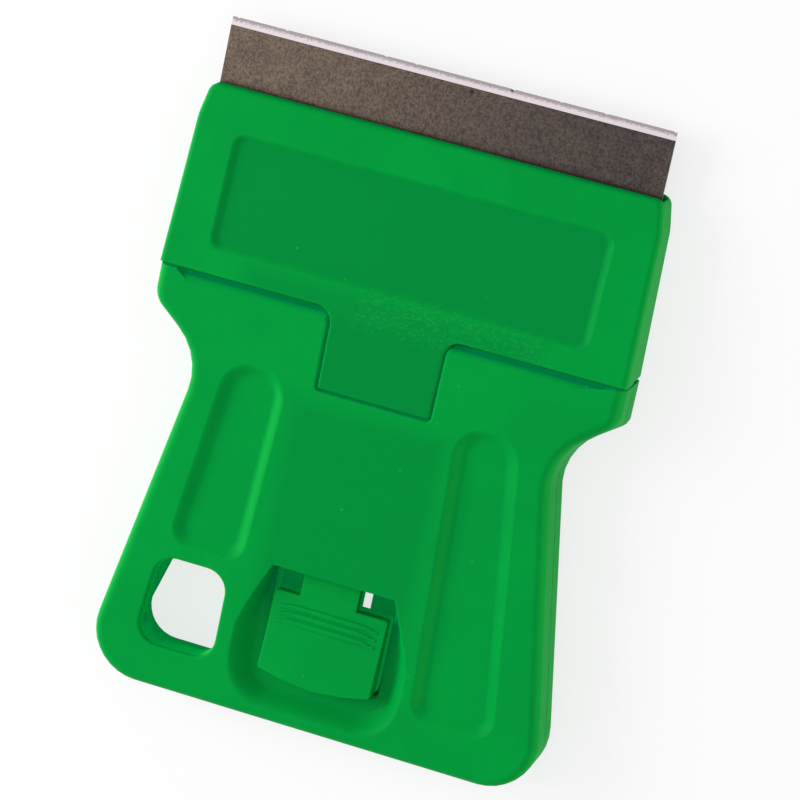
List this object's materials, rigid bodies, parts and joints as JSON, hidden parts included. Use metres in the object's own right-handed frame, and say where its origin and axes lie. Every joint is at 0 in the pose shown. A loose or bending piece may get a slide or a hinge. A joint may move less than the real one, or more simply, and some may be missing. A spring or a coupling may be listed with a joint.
{
  "type": "cleaning scraper",
  "caption": "Flat pocket scraper: a flared plastic handle holds a wide single-edge blade, which a sliding guard covers when its press pad is pushed in and up.",
  "frame": {"origin": "centre of the overall box in X and Y, at the height of the flat back face", "axes": "+X to the right seen from the front, +Y from the foot of the handle to the cutting edge, +Z from the back to the front"},
  "size_m": [0.0406, 0.0572, 0.0056],
  "materials": {
    "handle": "moulded green polypropylene, fine grain",
    "guard": "moulded green polypropylene, satin",
    "latch": "moulded green polypropylene, satin",
    "blade": "ground carbon steel, brown-grey, with a bright honed edge",
    "backing": "folded steel strip"
  },
  "bodies": {
    "handle": {"handle_front_shell": "handle", "handle_back_shell": "handle", "blade": "blade", "blade_backing": "backing"},
    "guard": {"blade_guard": "guard"},
    "latch": {"release_latch": "latch"}
  },
  "joints": [
    {"name": "guard_slide", "type": "slide", "parent": "handle", "child": "guard", "axis": [0, 1, 0], "range_m": [0, 0.0066]},
    {"name": "latch_press", "type": "hinge", "parent": "guard", "child": "latch", "pos_m": [0, -0.00366, 0.0039], "axis": [1, 0, 0], "range_deg": [0, 2.75]}
  ],
  "couplings": [
    {"joint": "latch_press", "follows": "guard_slide", "rad_per_m": 7.1}
  ]
}
